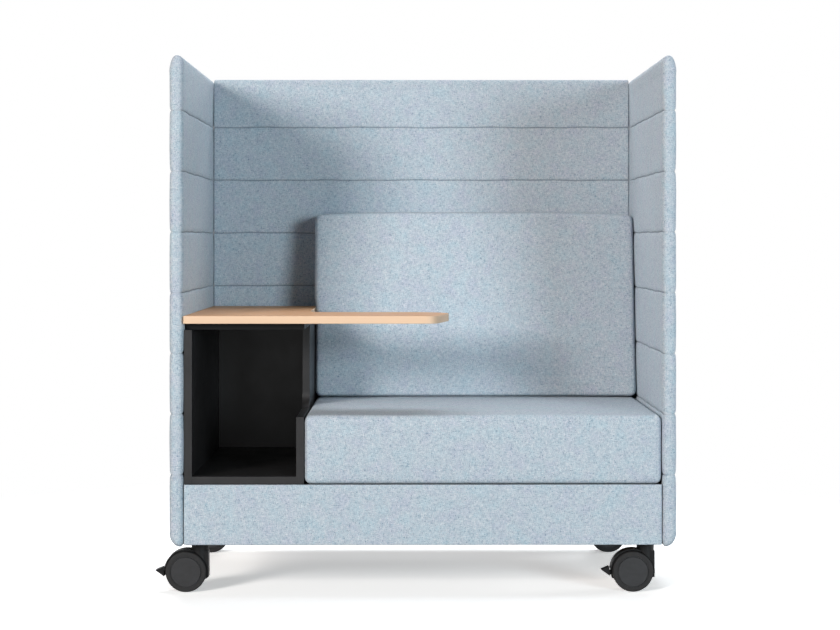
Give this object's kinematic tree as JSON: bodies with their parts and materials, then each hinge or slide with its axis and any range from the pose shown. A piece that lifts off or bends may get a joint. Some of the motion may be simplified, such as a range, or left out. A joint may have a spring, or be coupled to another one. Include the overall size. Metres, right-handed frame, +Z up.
{
  "type": "two-seater sofa",
  "caption": "Booth sofa on swivelling casters: padded side and back walls with sewn channels, seat and back cushions, an open cabinet and a table leaf with an arm over the cushion",
  "frame": {"origin": "on the floor, in the middle of the whole outline; the left brake pedal reaches past the wall, so the middle of the walls is at x = 0.0205 m", "axes": "+Z up, the open front towards -Y, +X to the right of somebody who looks at the front"},
  "size_m": [1.287, 0.754, 1.326],
  "materials": {
    "wall_fabric": "woven melange wool, light blue",
    "base_fabric": "woven melange wool, light blue",
    "cushion_fabric": "woven melange wool, light blue",
    "plywood": "raw plywood",
    "dust_cloth": "thin black cloth",
    "cabinet_board": "matt black laminate on board",
    "table_wood": "clear matt lacquer on light wood",
    "steel": "zinc-plated",
    "black_steel": "black",
    "caster_plastic": "black moulding",
    "tyre_rubber": "soft dark tread",
    "hub_plastic": "dark grey moulding",
    "axle_steel": "ground",
    "pedal_plastic": "black moulding"
  },
  "bodies": {
    "sofa": {"left_wall_cover": "wall_fabric", "right_wall_cover": "wall_fabric", "back_wall_cover": "wall_fabric", "base_front_cover": "base_fabric", "seat_cushion": "cushion_fabric", "back_cushion": "cushion_fabric", "left_wall_core": "plywood", "right_wall_core": "plywood", "back_wall_core": "plywood", "base_front_rail": "plywood", "base_rear_rail": "plywood", "base_left_rail": "plywood", "base_right_rail": "plywood", "left_caster_beam": "plywood", "right_caster_beam": "plywood", "base_cross_rail": "plywood", "base_deck": "plywood", "back_cushion_board": "plywood", "base_dust_cover": "dust_cloth", "cabinet_left_side": "cabinet_board", "cabinet_right_side": "cabinet_board", "cabinet_bottom": "cabinet_board", "cabinet_top": "cabinet_board", "cabinet_back": "cabinet_board", "table_leaf": "table_wood", "wall_studs": "steel", "wall_bolts": "steel", "back_cushion_clips": "steel", "cabinet_screws": "steel", "table_screws": "steel", "caster_screws": "steel", "swivel_pins": "steel", "caster_plates": "black_steel"},
    "front_left_swivel": {"front_left_caster_housing": "caster_plastic", "front_left_axle": "axle_steel"},
    "front_left_near_wheel": {"front_left_near_hub": "hub_plastic", "front_left_near_tyre": "tyre_rubber"},
    "front_left_far_wheel": {"front_left_far_hub": "hub_plastic", "front_left_far_tyre": "tyre_rubber"},
    "front_left_brake": {"front_left_brake_lever": "pedal_plastic"},
    "front_right_swivel": {"front_right_caster_housing": "caster_plastic", "front_right_axle": "axle_steel"},
    "front_right_near_wheel": {"front_right_near_hub": "hub_plastic", "front_right_near_tyre": "tyre_rubber"},
    "front_right_far_wheel": {"front_right_far_hub": "hub_plastic", "front_right_far_tyre": "tyre_rubber"},
    "front_right_brake": {"front_right_brake_lever": "pedal_plastic"},
    "rear_left_swivel": {"rear_left_caster_housing": "caster_plastic", "rear_left_axle": "axle_steel"},
    "rear_left_near_wheel": {"rear_left_near_hub": "hub_plastic", "rear_left_near_tyre": "tyre_rubber"},
    "rear_left_far_wheel": {"rear_left_far_hub": "hub_plastic", "rear_left_far_tyre": "tyre_rubber"},
    "rear_right_swivel": {"rear_right_caster_housing": "caster_plastic", "rear_right_axle": "axle_steel"},
    "rear_right_near_wheel": {"rear_right_near_hub": "hub_plastic", "rear_right_near_tyre": "tyre_rubber"},
    "rear_right_far_wheel": {"rear_right_far_hub": "hub_plastic", "rear_right_far_tyre": "tyre_rubber"}
  },
  "joints": [
    {"name": "front_left_swivel_turn", "type": "hinge", "parent": "sofa", "child": "front_left_swivel", "pos_m": [-0.5335, -0.298, 0.128], "axis": [0, 0, 1], "continuous": true},
    {"name": "front_left_near_wheel_roll", "type": "hinge", "parent": "front_left_swivel", "child": "front_left_near_wheel", "pos_m": [-0.5665, -0.298, 0.05], "axis": [0, 1, 0], "continuous": true},
    {"name": "front_left_far_wheel_roll", "type": "hinge", "parent": "front_left_swivel", "child": "front_left_far_wheel", "pos_m": [-0.5665, -0.298, 0.05], "axis": [0, 1, 0], "continuous": true},
    {"name": "front_left_brake_press", "type": "hinge", "parent": "front_left_swivel", "child": "front_left_brake", "pos_m": [-0.6125, -0.298, 0.045], "axis": [0, -1, 0], "range_deg": [0, 20]},
    {"name": "front_right_swivel_turn", "type": "hinge", "parent": "sofa", "child": "front_right_swivel", "pos_m": [0.5745, -0.298, 0.128], "axis": [0, 0, 1], "continuous": true},
    {"name": "front_right_near_wheel_roll", "type": "hinge", "parent": "front_right_swivel", "child": "front_right_near_wheel", "pos_m": [0.5415, -0.298, 0.05], "axis": [0, 1, 0], "continuous": true},
    {"name": "front_right_far_wheel_roll", "type": "hinge", "parent": "front_right_swivel", "child": "front_right_far_wheel", "pos_m": [0.5415, -0.298, 0.05], "axis": [0, 1, 0], "continuous": true},
    {"name": "front_right_brake_press", "type": "hinge", "parent": "front_right_swivel", "child": "front_right_brake", "pos_m": [0.4955, -0.298, 0.045], "axis": [0, -1, 0], "range_deg": [0, 20]},
    {"name": "rear_left_swivel_turn", "type": "hinge", "parent": "sofa", "child": "rear_left_swivel", "pos_m": [-0.5335, 0.298, 0.128], "axis": [0, 0, 1], "continuous": true},
    {"name": "rear_left_near_wheel_roll", "type": "hinge", "parent": "rear_left_swivel", "child": "rear_left_near_wheel", "pos_m": [-0.5665, 0.298, 0.05], "axis": [0, 1, 0], "continuous": true},
    {"name": "rear_left_far_wheel_roll", "type": "hinge", "parent": "rear_left_swivel", "child": "rear_left_far_wheel", "pos_m": [-0.5665, 0.298, 0.05], "axis": [0, 1, 0], "continuous": true},
    {"name": "rear_right_swivel_turn", "type": "hinge", "parent": "sofa", "child": "rear_right_swivel", "pos_m": [0.5745, 0.298, 0.128], "axis": [0, 0, 1], "continuous": true},
    {"name": "rear_right_near_wheel_roll", "type": "hinge", "parent": "rear_right_swivel", "child": "rear_right_near_wheel", "pos_m": [0.5415, 0.298, 0.05], "axis": [0, 1, 0], "continuous": true},
    {"name": "rear_right_far_wheel_roll", "type": "hinge", "parent": "rear_right_swivel", "child": "rear_right_far_wheel", "pos_m": [0.5415, 0.298, 0.05], "axis": [0, 1, 0], "continuous": true}
  ]
}
